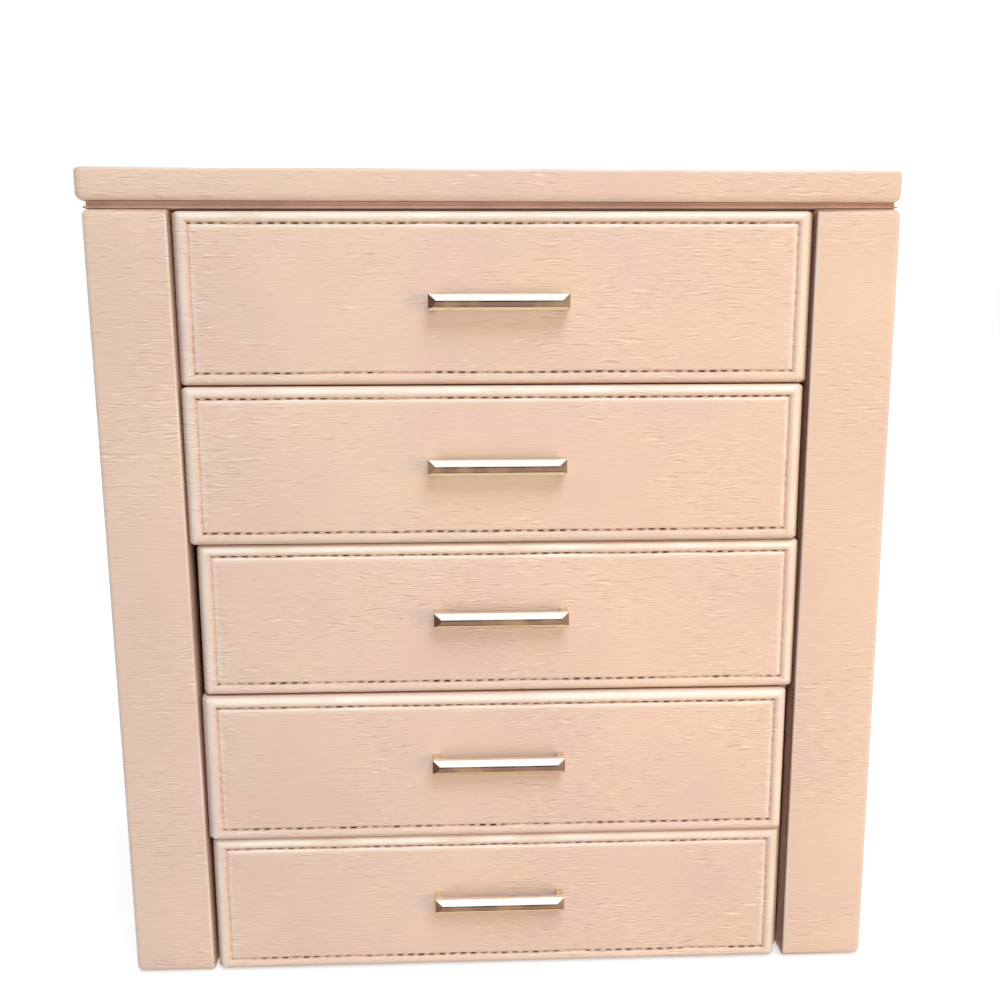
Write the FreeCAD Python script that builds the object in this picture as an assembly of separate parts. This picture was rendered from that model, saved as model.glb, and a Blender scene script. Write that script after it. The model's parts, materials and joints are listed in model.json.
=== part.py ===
import FreeCAD, Part
import os

from FreeCAD import Rotation, Vector

# Jewelry organizer: a case with five drawers, a hinged lid over a shallow top tray,
# and a wing door on each side whose front edge is the wide stile beside the drawers.
#
# Working frame, in millimetres: the stile fronts at y = 0, the back at +y, the middle
# of the box at x = 0 and the table top at z = 0. Each piece is moved along y when it is
# saved, so that the saved frame has its origin under the middle of the whole object.

# Body
body_width = 300.0
body_depth = 216.0
body_top = 304.4
felt_thick = 1.0
felt_inset = 3.0
stile_width = 31.7

# Case boards
case_half = 117.5
side_thick = 4.5
back_thick = 4.0
shelf_thick = 3.0
base_thick = 4.0
groove_depth = 1.5

# Drawers, counted from the top down
drawer_count = 5
drawer_pitch = 60.6
lowest_joint = 59.0
front_gap = 0.9
front_low_gap = 0.4
front_top_gap = 0.2
front_stop = 0.2
front_half = 116.5
front_thick = 9.0
front_round = 2.5
seam_inset = 4.5
seam_half = 0.7
seam_depth = 0.7
stand_proud = {2: 1.7, 4: 1.7}
side_shift = {2: -0.9, 3: 0.4, 4: -0.9, 5: -0.7}
box_play = 1.3
box_wall = 4.0
box_floor = 3.5
box_back_room = 6.0
box_height = 44.0
top_box_height = 34.0
box_rim_bevel = 1.0
grid_below_rim = 10.0
slide_play = 0.3

# Top tray under the lid
tray_depth = 24.0
tray_front_thick = 4.0
divider_thick = 2.5
divider_height = 20.0
tray_divider_x = 38.0
roll_height = 15.5
roll_round = 6.5
rolls_per_cell = 6
roll_room = 0.3
roll_gap = 0.2

# Lid
lid_seat = 307.1
lid_thick = 11.5
lid_overhang = 1.6
lid_corner = 4.0
lid_round_top = 1.4
lid_round_low = 2.5
lining_board = 2.0
lining_inset = 1.3
mirror_half = 125.0
mirror_margin = 23.0
mirror_thick = 1.8
mirror_bevel = 0.6
mirror_play = 0.2

# Wing doors
door_board = 5.0
door_front_board = 6.0
door_round = 2.5
door_bevel = 1.0
card_thick = 1.5
strip_thick = 3.0
strip_height = 10.0
strip_top = 290.0
strip_margin = 30.0
hook_count = 8
hook_wide = 3.0
hook_thick = 1.8
hook_reach = 9.0
hook_lift = 6.5
hook_bend = 3.0
strip_edge = 1.0
card_play = 0.3
pocket_thick = 1.5
pocket_height = 56.0
pocket_end = 7.5
pocket_crown = 4.0

# Hinges
hinge_length = 30.0
leaf_thick = 1.0
leaf_reach = 9.5
leaf_gap = 0.15
leaf_corner = 1.2
axis_back = 2.5
knuckle_radius = 2.3
knuckle_play = 0.25
pin_radius = 1.0
pin_play = 0.05
lid_hinge_x = 75.0
door_hinge_z = (52.0, 250.0)

# Pulls; the outline runs behind the bar's front ridge and above its middle
pull_length = 52.0
pull_half = 3.0
pull_reach = 7.5
pull_leg = 3.0
pull_leg_start = 2.4
pull_slant = 0.6
pull_bevel = 2.8
pull_outline = [(pull_slant, pull_half), (0, 0), (0.3, -1.9), (1.1, -pull_half),
                (2.5, -pull_half), (3.0, -2.5), (3.0, 2.5), (2.5, pull_half)]
pull_rise = {1: -1.5, 3: 1.1, 4: 2.7, 5: 1.6}  # above the middle of each front

# Magnets and the steel plates that they hold
magnet_wide = 8.0
magnet_high = 3.0
magnet_long = 3.0
plate_thick = 1.0
magnet_y = 22.0

# Worked out from the dimensions above
door_inner = body_width / 2 - stile_width
case_front = front_thick + front_stop
case_inner = case_half - side_thick
case_back = body_depth - back_thick
joint_heights = [lowest_joint + drawer_pitch * step for step in range(drawer_count - 1)]
tray_floor_top = body_top - tray_depth
tray_inner_front = case_front + tray_front_thick
tray_cross_y = (tray_inner_front + case_back) / 2
box_half = case_inner - box_play
hinge_axis_y = body_depth + axis_back
lid_axis_z = (body_top + lid_seat) / 2
door_axis_x = (case_half + door_inner) / 2
reach_front = pull_reach + max(stand_proud.values())
reach_back = body_depth + axis_back + knuckle_radius
frame_shift = (reach_front - reach_back) / 2


def block(x0, x1, y0, y1, z0, z1):
    return Part.makeBox(x1 - x0, y1 - y0, z1 - z0, Vector(x0, y0, z0))


def rod(radius, length, start, direction):
    return Part.makeCylinder(radius, length, start, direction)


def round_edges(shape, radius, wanted):
    """Round the edges whose bounding box passes the test."""
    edges = [edge for edge in shape.Edges if wanted(edge.BoundBox)]
    return shape.makeFillet(radius, edges)


def bevel_edges(shape, size, wanted):
    """Bevel the edges whose bounding box passes the test."""
    edges = [edge for edge in shape.Edges if wanted(edge.BoundBox)]
    return shape.makeChamfer(size, edges)


def near(value, target):
    return abs(value - target) < 0.01


def mirrored(shape):
    """The same piece on the right-hand side of the box."""
    return shape.mirror(Vector(0, 0, 0), Vector(1, 0, 0))


def save(name, shape):
    placed = shape.copy()
    placed.translate(Vector(0, frame_shift, 0))
    placed.exportStep("parts/" + name + ".step")


def drawer_span(number):
    """Lowest and highest z of a drawer's front, drawer 1 being the top one."""
    step = drawer_count - number
    low = felt_thick + front_low_gap
    high = body_top - front_top_gap
    if step > 0:
        low = joint_heights[step - 1] + front_gap / 2
    if number > 1:
        high = joint_heights[step] - front_gap / 2
    return low, high


def shelf_span(number):
    """Lowest and highest z of the shelf under a drawer; drawer 5 stands on the base."""
    if number == drawer_count:
        return felt_thick, felt_thick + base_thick
    middle = joint_heights[drawer_count - 1 - number]
    return middle - shelf_thick / 2, middle + shelf_thick / 2


# Case

def side_panel():
    """Left side board, with a groove for each shelf and pockets for the catch plates."""
    panel = block(-case_half, -case_inner, case_front, case_back, felt_thick, body_top)
    spans = [shelf_span(number) for number in range(1, drawer_count + 1)]
    spans.append((tray_floor_top - shelf_thick, tray_floor_top))
    for low, high in spans:
        groove = block(-case_inner - groove_depth, -case_inner, case_front, case_back, low, high)
        panel = panel.cut(groove)
    for plate in catch_plates():
        panel = panel.cut(plate)
    return panel


def catch_plates():
    """Steel plates let into the left side board, opposite the door's magnets."""
    return magnet_blocks(-case_half, -case_half + plate_thick)


def shelf_board(low, high):
    """A board between the side boards, its two ends seated in their grooves."""
    half = case_inner + groove_depth
    return block(-half, half, case_front, case_back, low, high)


def top_tray_dividers():
    """Two boards from front to back and one across, halved into each other."""
    low = tray_floor_top
    high = low + divider_height
    half = divider_thick / 2
    grid = block(-case_inner, case_inner, tray_cross_y - half, tray_cross_y + half, low, high)
    for middle in (-tray_divider_x, tray_divider_x):
        plate = block(middle - half, middle + half, tray_inner_front, case_back, low, high)
        grid = grid.fuse(plate)
    return grid.removeSplitter()


def ring_roll(x0, x1, y0, y1):
    """One foam roll for rings: a bar with a rounded top."""
    low = tray_floor_top
    top = low + roll_height
    bar = block(x0, x1, y0, y1, low, top)
    return round_edges(bar, roll_round, lambda box: box.XLength > 1 and near(box.ZMax, top)
                       and near(box.ZMin, top))


def ring_rolls():
    """The rolls that fill the two front outer cells of the tray."""
    inner = tray_divider_x + divider_thick / 2 + roll_room
    outer = case_inner - roll_room
    first = tray_inner_front + roll_room
    last = tray_cross_y - divider_thick / 2 - roll_room
    pitch = (last - first) / rolls_per_cell
    rolls = []
    for step in range(rolls_per_cell):
        start = first + pitch * step
        roll = ring_roll(-outer, -inner, start, start + pitch - roll_gap)
        rolls.append(roll)
        rolls.append(mirrored(roll))
    return Part.makeCompound(rolls)


def build_case():
    save("base_felt", block(-case_inner, case_inner, case_front + felt_inset,
                             body_depth - felt_inset, 0, felt_thick))
    save("base_board", shelf_board(*shelf_span(drawer_count)))
    panel = side_panel()
    save("side_panel_left", panel)
    save("side_panel_right", mirrored(panel))
    save("back_panel", block(-case_half, case_half, case_back, body_depth, felt_thick, body_top))
    for number in range(1, drawer_count):
        save("shelf_%d" % number, shelf_board(*shelf_span(number)))
    save("top_tray_floor", shelf_board(tray_floor_top - shelf_thick, tray_floor_top))
    save("top_tray_front", block(-case_inner, case_inner, case_front, tray_inner_front,
                                 tray_floor_top, body_top))
    save("top_tray_dividers", top_tray_dividers())
    save("ring_rolls", ring_rolls())
    plates = catch_plates()
    save("catch_plates", Part.makeCompound(plates + [mirrored(plate) for plate in plates]))


# Drawers

def frustum(inset_front, inset_back, x0, x1, z0, z1, y_front, y_back):
    """A solid between two rectangles set in from the edges of the drawer front."""
    wires = []
    for inset, y in ((inset_front, y_front), (inset_back, y_back)):
        corners = [Vector(x0 + inset, y, z0 + inset), Vector(x1 - inset, y, z0 + inset),
                   Vector(x1 - inset, y, z1 - inset), Vector(x0 + inset, y, z1 - inset)]
        wires.append(Part.makePolygon(corners + corners[:1]))
    return Part.makeLoft(wires, True, True)


def drawer_front(number):
    """Wrapped front board: rolled edges, and the pressed line of the seam all round."""
    low, high = drawer_span(number)
    face = -stand_proud.get(number, 0)
    board = block(-front_half, front_half, face, face + front_thick, low, high)
    board = round_edges(board, front_round, lambda box: near(box.YMax, face))
    outer = frustum(seam_inset - seam_half, seam_inset, -front_half, front_half, low, high,
                    face, face + seam_depth)
    inner = frustum(seam_inset + seam_half, seam_inset, -front_half, front_half, low, high,
                    face, face + seam_depth)
    return board.cut(outer.cut(inner))


def pull_height(number):
    low, high = drawer_span(number)
    return (low + high) / 2 + pull_rise.get(number, 0)


def box_bounds(number):
    """Outer corner values of a drawer's box: y0, y1, z0, z1."""
    y0 = front_thick - stand_proud.get(number, 0)
    y1 = case_back - box_back_room
    z0 = shelf_span(number)[1] + slide_play
    height = top_box_height if number == 1 else box_height
    return y0, y1, z0, z0 + height


def drawer_box(number):
    """Open tray behind the front, with a bevelled rim."""
    y0, y1, z0, z1 = box_bounds(number)
    outer = block(-box_half, box_half, y0, y1, z0, z1)
    hollow = block(-box_half + box_wall, box_half - box_wall, y0 + box_wall, y1 - box_wall,
                   z0 + box_floor, z1)
    tray = outer.cut(hollow)
    return bevel_edges(tray, box_rim_bevel, lambda box: near(box.ZMin, z1) and near(box.ZMax, z1)
                       and not near(box.YMax, y0))


def drawer_dividers(number, columns):
    """Board across the drawer and the boards that part it from front to back."""
    y0, y1, z0, z1 = box_bounds(number)
    inner_half = box_half - box_wall
    floor = z0 + box_floor
    top = z1 - grid_below_rim
    half = divider_thick / 2
    middle = (y0 + y1) / 2
    grid = block(-inner_half, inner_half, middle - half, middle + half, floor, top)
    for step in range(1, columns):
        x = -inner_half + 2 * inner_half * step / columns
        grid = grid.fuse(block(x - half, x + half, y0 + box_wall, y1 - box_wall, floor, top))
    return grid.removeSplitter()


def pull(number):
    """Low faceted bar with a front ridge and bevelled ends, on two legs."""
    face = -stand_proud.get(number, 0)
    front = face - pull_reach
    height = pull_height(number)
    half = pull_length / 2
    corners = [Vector(-half, front + behind, height + rise) for behind, rise in pull_outline]
    outline = Part.makePolygon(corners + corners[:1])
    bar = Part.Face(outline).extrude(Vector(pull_length, 0, 0))
    start = half - pull_bevel
    end = half + 1.0
    recede = pull_slant * (end - start) / pull_bevel
    low = height - pull_half
    for side in (-1, 1):
        corners = [Vector(side * start, front, low - 1.0), Vector(side * end, front, low - 1.0),
                   Vector(side * end, front + recede, low - 1.0)]
        wedge = Part.Face(Part.makePolygon(corners + corners[:1]))
        bar = bar.cut(wedge.extrude(Vector(0, 0, 2 * pull_half + 2.0)))
        x0, x1 = sorted((side * (half - pull_leg), side * half))
        bar = bar.fuse(block(x0, x1, front + pull_leg_start, face, low, low + 2 * pull_half))
    return bar.removeSplitter()


def build_drawers():
    columns = {2: 3, 4: 2}
    for number in range(1, drawer_count + 1):
        pieces = {
            "front": drawer_front(number),
            "box": drawer_box(number),
            "pull": pull(number),
        }
        if number in columns:
            pieces["dividers"] = drawer_dividers(number, columns[number])
        for name, shape in pieces.items():
            shape.translate(Vector(side_shift.get(number, 0), 0, 0))
            save("drawer_%d_%s" % (number, name), shape)


# Lid

def lid_board():
    """Wrapped lid board, square at the back where the hinges sit."""
    half = body_width / 2 + lid_overhang
    top = lid_seat + lid_thick
    board = block(-half, half, -lid_overhang, body_depth, lid_seat, top)
    board = round_edges(board, lid_corner, lambda box: near(box.ZLength, lid_thick)
                        and near(box.YMax, -lid_overhang))
    board = round_edges(board, lid_round_top, lambda box: near(box.ZMin, top))
    return round_edges(board, lid_round_low, lambda box: near(box.ZMax, lid_seat)
                       and not near(box.YMin, body_depth))


def lid_lining():
    """Board under the lid that frames the mirror."""
    half = body_width / 2 - lining_inset
    board = block(-half, half, lining_inset, body_depth - lining_inset,
                  lid_seat - lining_board, lid_seat)
    window = block(-mirror_half, mirror_half, mirror_margin, body_depth - mirror_margin,
                   lid_seat - lining_board, lid_seat)
    return board.cut(window)


def lid_mirror():
    """Bevelled glass in the window of the lining, its back on the lid board."""
    low = lid_seat - mirror_thick
    half = mirror_half - mirror_play
    y0 = mirror_margin + mirror_play
    glass = block(-half, half, y0, body_depth - y0, low, lid_seat)
    return bevel_edges(glass, mirror_bevel, lambda box: near(box.ZMax, low))


def build_lid():
    save("lid_board", lid_board())
    save("lid_lining", lid_lining())
    save("lid_mirror", lid_mirror())


# Wing doors, drawn as the left one

def magnet_heights():
    return (felt_thick + door_board / 2, body_top - door_board / 2)


def magnet_blocks(x0, x1):
    """One block at each of the two heights where a door is held shut."""
    half_y, half_z = magnet_wide / 2, magnet_high / 2
    return [block(x0, x1, magnet_y - half_y, magnet_y + half_y, height - half_z, height + half_z)
            for height in magnet_heights()]


def door_magnets():
    """Magnets let into the door's top and bottom boards, facing the case."""
    return Part.makeCompound(magnet_blocks(-door_inner - magnet_long, -door_inner))


def door_shell():
    """Shallow wrapped tray, open towards the case, that carries the stile in front."""
    outer_x = -body_width / 2
    inner_x = -door_inner
    shell = block(outer_x, inner_x, 0, body_depth, felt_thick, body_top)
    shell = bevel_edges(shell, door_bevel, lambda box: near(box.XMin, inner_x)
                        and near(box.YMax, 0) and box.ZLength > 1)
    shell = round_edges(shell, door_round, lambda box: near(box.XMin, outer_x)
                        and (near(box.XMax, outer_x) or near(box.YMax, 0)))
    hollow = block(outer_x + door_board, inner_x, door_front_board, body_depth - door_board,
                   felt_thick + door_board, body_top - door_board)
    shell = shell.cut(hollow)
    return shell.cut(door_magnets())


def door_card():
    """Velvet-covered card on the inner face of the door's side."""
    x0 = -body_width / 2 + door_board
    edge = door_board + card_play
    return block(x0, x0 + card_thick, door_front_board + card_play, body_depth - edge,
                 felt_thick + edge, body_top - edge)


def hook(face, y, height):
    """One flat hook: a tab out of the strip that curves up at its end."""
    side = y - hook_wide / 2
    low = height - hook_thick
    bend_x = face + hook_reach - hook_bend
    bend_z = low + hook_bend
    outer, inner = hook_bend, hook_bend - hook_thick

    def point(x, z):
        return Vector(x, side, z)

    def quarter(radius):
        slant = radius * 0.5 ** 0.5
        return Part.Arc(point(bend_x, bend_z - radius), point(bend_x + slant, bend_z - slant),
                        point(bend_x + radius, bend_z)).toShape()

    tip = Part.makePolygon([point(bend_x + outer, bend_z), point(bend_x + outer, low + hook_lift),
                            point(bend_x + inner, low + hook_lift), point(bend_x + inner, bend_z)])
    root = Part.makePolygon([point(bend_x, height), point(face, height), point(face, low),
                             point(bend_x, low)])
    outline = Part.Wire([quarter(outer)] + tip.Edges + [quarter(inner)] + root.Edges)
    return Part.Face(outline).extrude(Vector(0, hook_wide, 0))


def hook_strip():
    """Strip with a row of upturned hooks for necklaces."""
    x0 = -body_width / 2 + door_board + card_thick
    face = x0 + strip_thick
    y0 = strip_margin
    y1 = body_depth - strip_margin
    strip = block(x0, face, y0, y1, strip_top - strip_height, strip_top)
    strip = bevel_edges(strip, strip_edge, lambda box: near(box.XMin, face))
    height = strip_top - strip_height / 2
    pitch = (y1 - y0) / hook_count
    for step in range(hook_count):
        y = y0 + pitch * (step + 0.5)
        strip = strip.fuse(hook(face, y, height))
    return strip.removeSplitter()


def door_pocket():
    """Cloth pocket along the bottom of the door: a band that bows out in the middle."""
    end_x = -door_inner - pocket_end
    y0 = door_front_board
    y1 = body_depth - door_board
    middle = (y0 + y1) / 2
    low = felt_thick + door_board

    def edge(x, crown):
        return Part.Arc(Vector(x, y0, low), Vector(x + crown, middle, low),
                        Vector(x, y1, low)).toShape()

    outer = edge(end_x, pocket_crown)
    inner = edge(end_x - pocket_thick, pocket_crown)
    ends = [Part.makeLine(Vector(end_x, y, low), Vector(end_x - pocket_thick, y, low))
            for y in (y0, y1)]
    outline = Part.Wire([outer, ends[1], inner, ends[0]])
    return Part.Face(outline).extrude(Vector(0, 0, pocket_height))


def build_doors():
    pieces = {
        "shell": door_shell(),
        "card": door_card(),
        "hook_strip": hook_strip(),
        "pocket": door_pocket(),
        "magnets": door_magnets(),
    }
    for name, shape in pieces.items():
        save("door_left_" + name, shape)
        save("door_right_" + name, mirrored(shape))


# Hinges, drawn with the pin along X at the origin and the box on the -Y side

def hinge_leaf(side):
    """One leaf: side 1 reaches up with the middle knuckle, side -1 down with the outer two."""
    half = hinge_length / 2
    third = hinge_length / 6
    near_z, far_z = sorted((leaf_gap * side, leaf_reach * side))
    leaf = block(-half, half, -axis_back, leaf_thick - axis_back, near_z, far_z)
    leaf = bevel_edges(leaf, leaf_corner, lambda box: near(box.YLength, leaf_thick)
                       and near(abs(box.ZMax), leaf_reach) and near(abs(box.ZMin), leaf_reach))
    spans = {1: [(-third, third)], -1: [(-half, -third), (third, half)]}
    for start, end in spans[side]:
        knuckle = rod(knuckle_radius, end - start - knuckle_play,
                      Vector(start + knuckle_play / 2, 0, 0), Vector(1, 0, 0))
        leaf = leaf.fuse(knuckle)
    room = knuckle_radius + knuckle_play
    for start, end in spans[-side]:
        leaf = leaf.cut(block(start - knuckle_play / 2, end + knuckle_play / 2, -axis_back, 0,
                              -room, room))
    leaf = leaf.cut(rod(pin_radius + pin_play, hinge_length, Vector(-half, 0, 0), Vector(1, 0, 0)))
    return leaf.removeSplitter()


def hinge_pin():
    return rod(pin_radius, hinge_length, Vector(-hinge_length / 2, 0, 0), Vector(1, 0, 0))


def turned(shape, degrees, place):
    """The shape turned about Y and put at its place."""
    moved = shape.copy()
    moved.Placement = FreeCAD.Placement(place, Rotation(Vector(0, 1, 0), degrees))
    return moved


def build_hinges():
    lid_places = [Vector(x, hinge_axis_y, lid_axis_z) for x in (-lid_hinge_x, lid_hinge_x)]
    door_places = [Vector(-door_axis_x, hinge_axis_y, z) for z in door_hinge_z]
    fixed, moving = hinge_leaf(-1), hinge_leaf(1)
    pin = hinge_pin()

    def at_lid(shape):
        return [turned(shape, 0, place) for place in lid_places]

    def at_left(shape):
        return [turned(shape, -90, place) for place in door_places]

    def at_right(shape):
        return [mirrored(piece) for piece in at_left(shape)]

    def at_doors(shape):
        return at_left(shape) + at_right(shape)

    groups = {
        "lid_hinge_case_leaves": at_lid(fixed),
        "door_hinge_case_leaves": at_doors(fixed),
        "hinge_pins": at_lid(pin) + at_doors(pin),
        "lid_hinge_leaves": at_lid(moving),
        "door_left_hinge_leaves": at_left(moving),
        "door_right_hinge_leaves": at_right(moving),
    }
    for name, pieces in groups.items():
        save(name, Part.makeCompound(pieces))


os.makedirs("parts", exist_ok=True)
build_case()
build_drawers()
build_lid()
build_doors()
build_hinges()
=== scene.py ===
import json
import math
import bmesh
import bpy
from mathutils import Matrix, Vector, noise


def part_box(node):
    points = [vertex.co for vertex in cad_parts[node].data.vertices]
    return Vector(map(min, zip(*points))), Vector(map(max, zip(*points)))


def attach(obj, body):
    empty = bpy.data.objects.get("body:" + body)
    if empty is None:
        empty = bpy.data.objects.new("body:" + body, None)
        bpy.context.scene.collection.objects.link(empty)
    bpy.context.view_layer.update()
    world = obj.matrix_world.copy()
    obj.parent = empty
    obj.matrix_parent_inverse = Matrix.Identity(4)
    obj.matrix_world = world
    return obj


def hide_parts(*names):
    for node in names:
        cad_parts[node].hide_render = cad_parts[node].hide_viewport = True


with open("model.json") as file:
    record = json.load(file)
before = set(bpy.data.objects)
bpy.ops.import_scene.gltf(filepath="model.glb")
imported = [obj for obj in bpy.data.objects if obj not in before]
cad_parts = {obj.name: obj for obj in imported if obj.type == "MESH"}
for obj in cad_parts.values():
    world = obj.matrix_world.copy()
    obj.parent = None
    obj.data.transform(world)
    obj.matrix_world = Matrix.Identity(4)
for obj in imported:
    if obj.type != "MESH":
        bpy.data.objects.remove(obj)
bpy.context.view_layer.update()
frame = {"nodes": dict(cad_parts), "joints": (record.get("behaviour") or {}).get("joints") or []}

nodes = frame["nodes"]
joints = {joint["name"]: joint for joint in frame["joints"]}
mm = 0.001
drawerNumbers = range(1, 6)
sides = {"left": -1, "right": 1}
fullTurn = 2 * math.pi


# Camera, matched to the photograph
cameraLook = {
    "place": (-0.01285, -0.48391, 0.26078),
    "turn": -1.97,       # degrees to the right of straight on
    "tilt": -9.59,       # degrees down
    "roll": 0.224,
    "lens": 36.0,
    "sensor": 36.0,
}


def addObject(name, data):
    made = bpy.data.objects.new(name, data)
    bpy.context.scene.collection.objects.link(made)
    return made


def addCamera(look):
    camera = addObject("photoCamera", bpy.data.cameras.new("photoCamera"))
    camera.data.lens = look["lens"]
    camera.data.sensor_width = look["sensor"]
    camera.data.clip_start = 0.01
    pose = Matrix.Translation(look["place"])
    for angle, axis in ((look["turn"], "Z"), (look["tilt"], "X"), (look["roll"], "Y"), (90, "X")):
        pose = pose @ Matrix.Rotation(math.radians(angle), 4, axis)
    camera.matrix_world = pose
    bpy.context.scene.camera = camera


addCamera(cameraLook)
print("camera placed")


# Small helpers for materials; a colour is picked as 0 to 255 on screen
def tone(red, green, blue):
    linear = []
    for part in (red, green, blue):
        share = part / 255
        linear.append(share / 12.92 if share <= 0.04045 else ((share + 0.055) / 1.055) ** 2.4)
    return (*linear, 1.0)


def newMaterial(name, roughness, metallic=0.0, specular=0.5):
    material = bpy.data.materials.new(name)
    material.use_nodes = True
    shader = material.node_tree.nodes["Principled BSDF"]
    shader.inputs["Roughness"].default_value = roughness
    shader.inputs["Metallic"].default_value = metallic
    shader.inputs["Specular IOR Level"].default_value = specular
    return material, material.node_tree, shader


def isSocket(value):
    return isinstance(value, bpy.types.NodeSocket)


# Unless a tree is given, the node joins the tree of the sockets that lead to it
def addNode(kind, inputs=None, tree=None, **settings):
    inputs = inputs or {}
    if tree is None:
        tree = next(value.id_data for value in inputs.values() if isSocket(value))
    node = tree.nodes.new("ShaderNode" + kind)
    for name, value in settings.items():
        setattr(node, name, value)
    for name, value in inputs.items():
        if isSocket(value):
            tree.links.new(value, node.inputs[name])
        else:
            node.inputs[name].default_value = value
    return node


def sums(operation, first, second=0.0):
    return addNode("Math", {0: first, 1: second}, operation=operation).outputs[0]


def times(first, second):
    return sums("MULTIPLY", first, second)


def plus(first, second):
    return sums("ADD", first, second)


# Maps a value from low..high to newLow..newHigh, and holds it there
def spread(value, low, high, newLow=0.0, newHigh=1.0):
    inputs = {"Value": value, "From Min": low, "From Max": high,
              "To Min": newLow, "To Max": newHigh}
    return addNode("MapRange", inputs).outputs["Result"]


def mixColour(share, first, second, blend="MIX"):
    inputs = {0: share, 6: first, 7: second}
    return addNode("Mix", inputs, data_type="RGBA", blend_type=blend).outputs[2]


def shaded(colour, level):
    grey = addNode("CombineColor", {0: level, 1: level, 2: level}).outputs[0]
    return mixColour(1.0, colour, grey, "MULTIPLY")


def objectPlace(tree):
    return addNode("TexCoord", tree=tree).outputs["Object"]


# The value about nought, for noise that runs from 0 to 1
def centred(value):
    return sums("SUBTRACT", value, 0.5)


# 1 where the camera, a mirror or glass sees a surface, 0 where it only gives light
def seenDirectly(tree):
    rays = addNode("LightPath", tree=tree).outputs
    mirrored = sums("MAXIMUM", rays["Is Glossy Ray"], rays["Is Transmission Ray"])
    return sums("MAXIMUM", rays["Is Camera Ray"], mirrored)


def noiseAt(vector, scale, detail=2.0, roughness=0.5):
    inputs = {"Vector": vector, "Scale": scale, "Detail": detail, "Roughness": roughness}
    return addNode("TexNoise", inputs).outputs["Fac"]


def bump(height, distance, strength=1.0, below=None):
    inputs = {"Height": height, "Distance": distance, "Strength": strength}
    if below is not None:
        inputs["Normal"] = below
    return addNode("Bump", inputs).outputs["Normal"]


def finish(shader, colour, roughness, normal):
    for name, value in (("Base Color", colour), ("Roughness", roughness), ("Normal", normal)):
        shader.id_data.links.new(value, shader.inputs[name])


# Leatherette with a wavy level emboss, painted highlight on its tops and painted shade in its
# hollows; the painted shade of the seams and the paleness and painted highlight of the rolled
# edges come from the meshes
leatherLook = {
    "peach": tone(240, 208, 188),
    "pink": tone(232, 199, 186),
    "sand": tone(234, 206, 181),
    "ridgeHighlight": tone(253, 232, 211),    # painted highlight on the tops of the emboss
    # painted shade in the hollows of the emboss
    "valleyShade": tone(203, 163, 146),
    "seamShadeColour": tone(96, 60, 50),      # painted shade in the needle holes and the seam's groove
    "wornAndHighlight": tone(255, 249, 238),     # paler where stretched over the rolled edges, and painted highlight there
    "ridgePitch": 1.25 * mm,
    "ridgeLong": 7.5 * mm,
    "looseWide": 0.85 * mm,
    "breakWide": 1.7 * mm,           # ridges that break off together
    "cluster": 24.0,                 # ridges stand in clusters; how many to a metre
    "swayLong": 15.0 * mm,
    "swayWide": 5.0 * mm,
    "sway": 3.4 * mm,
    "rippleDeep": 0.13 * mm,
    "rungLong": 5.0 * mm,            # short strokes beside the upright seams
    "rungWide": 0.6 * mm,
    "grain": 0.35 * mm,
    "grainDeep": 0.02 * mm,
    "waveShare": 0.36,               # regular waves in the emboss, beside loose streaks
    "rungShare": 1.2,
    "patchShare": 0.5,
    "ridgeHighlightShare": 0.75,
    "valleyShadeShare": 0.55,
    "wornAndHighlightShare": 0.75,
}


# Along and across the emboss: level on walls, side to side on tops
def embossCoordinates(tree):
    place = addNode("TexCoord", tree=tree)
    point = addNode("SeparateXYZ", {0: place.outputs["Object"]})
    facing = addNode("SeparateXYZ", {0: place.outputs["Normal"]})
    lying = sums("GREATER_THAN", sums("ABSOLUTE", facing.outputs["Z"]), 0.75)
    standing = sums("LESS_THAN", lying, 0.5)
    along = plus(point.outputs["X"], times(point.outputs["Y"], standing))
    across = plus(times(point.outputs["Z"], standing),
                  times(point.outputs["Y"], lying))
    return place.outputs["Object"], along, across


# A value that the mesh itself carries
def painted(tree, name):
    return addNode("Attribute", tree=tree, attribute_name=name).outputs["Fac"]


def streaks(along, across, length, width, detail=1.0):
    stretched = addNode("CombineXYZ", {
        0: times(along, 1 / length), 1: times(across, 1 / width)})
    return noiseAt(stretched.outputs[0], 1.0, detail)


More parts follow.
